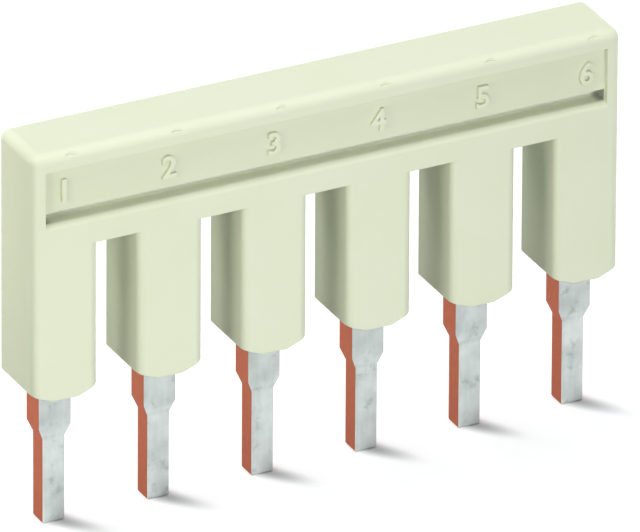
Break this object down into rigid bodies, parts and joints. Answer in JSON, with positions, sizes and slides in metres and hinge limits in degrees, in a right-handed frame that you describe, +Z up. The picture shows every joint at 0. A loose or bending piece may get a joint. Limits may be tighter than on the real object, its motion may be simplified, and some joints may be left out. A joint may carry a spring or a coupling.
{
  "type": "terminal block jumper bar",
  "caption": "Insulated comb jumper bar: a pale moulded bar with hanging teeth and coined copper pins that bridges neighbouring rail terminal blocks.",
  "frame": {"origin": "middle of the bar's length and depth, in the plane of the pin tips, where the pins enter their slots", "axes": "+X along the bar, front with the recessed panel towards -Y, +Z up from the pin tips to the top of the bar"},
  "size_m": [0.0282, 0.0034, 0.0183],
  "materials": {
    "housing_plastic": "satin moulded polyamide, pale greenish beige",
    "comb_metal": "copper sheet, tinned on its two faces and bare on its cut edges"
  },
  "bodies": {
    "root": {"insulating_housing": "housing_plastic", "contact_comb": "comb_metal"}
  },
  "joints": []
}
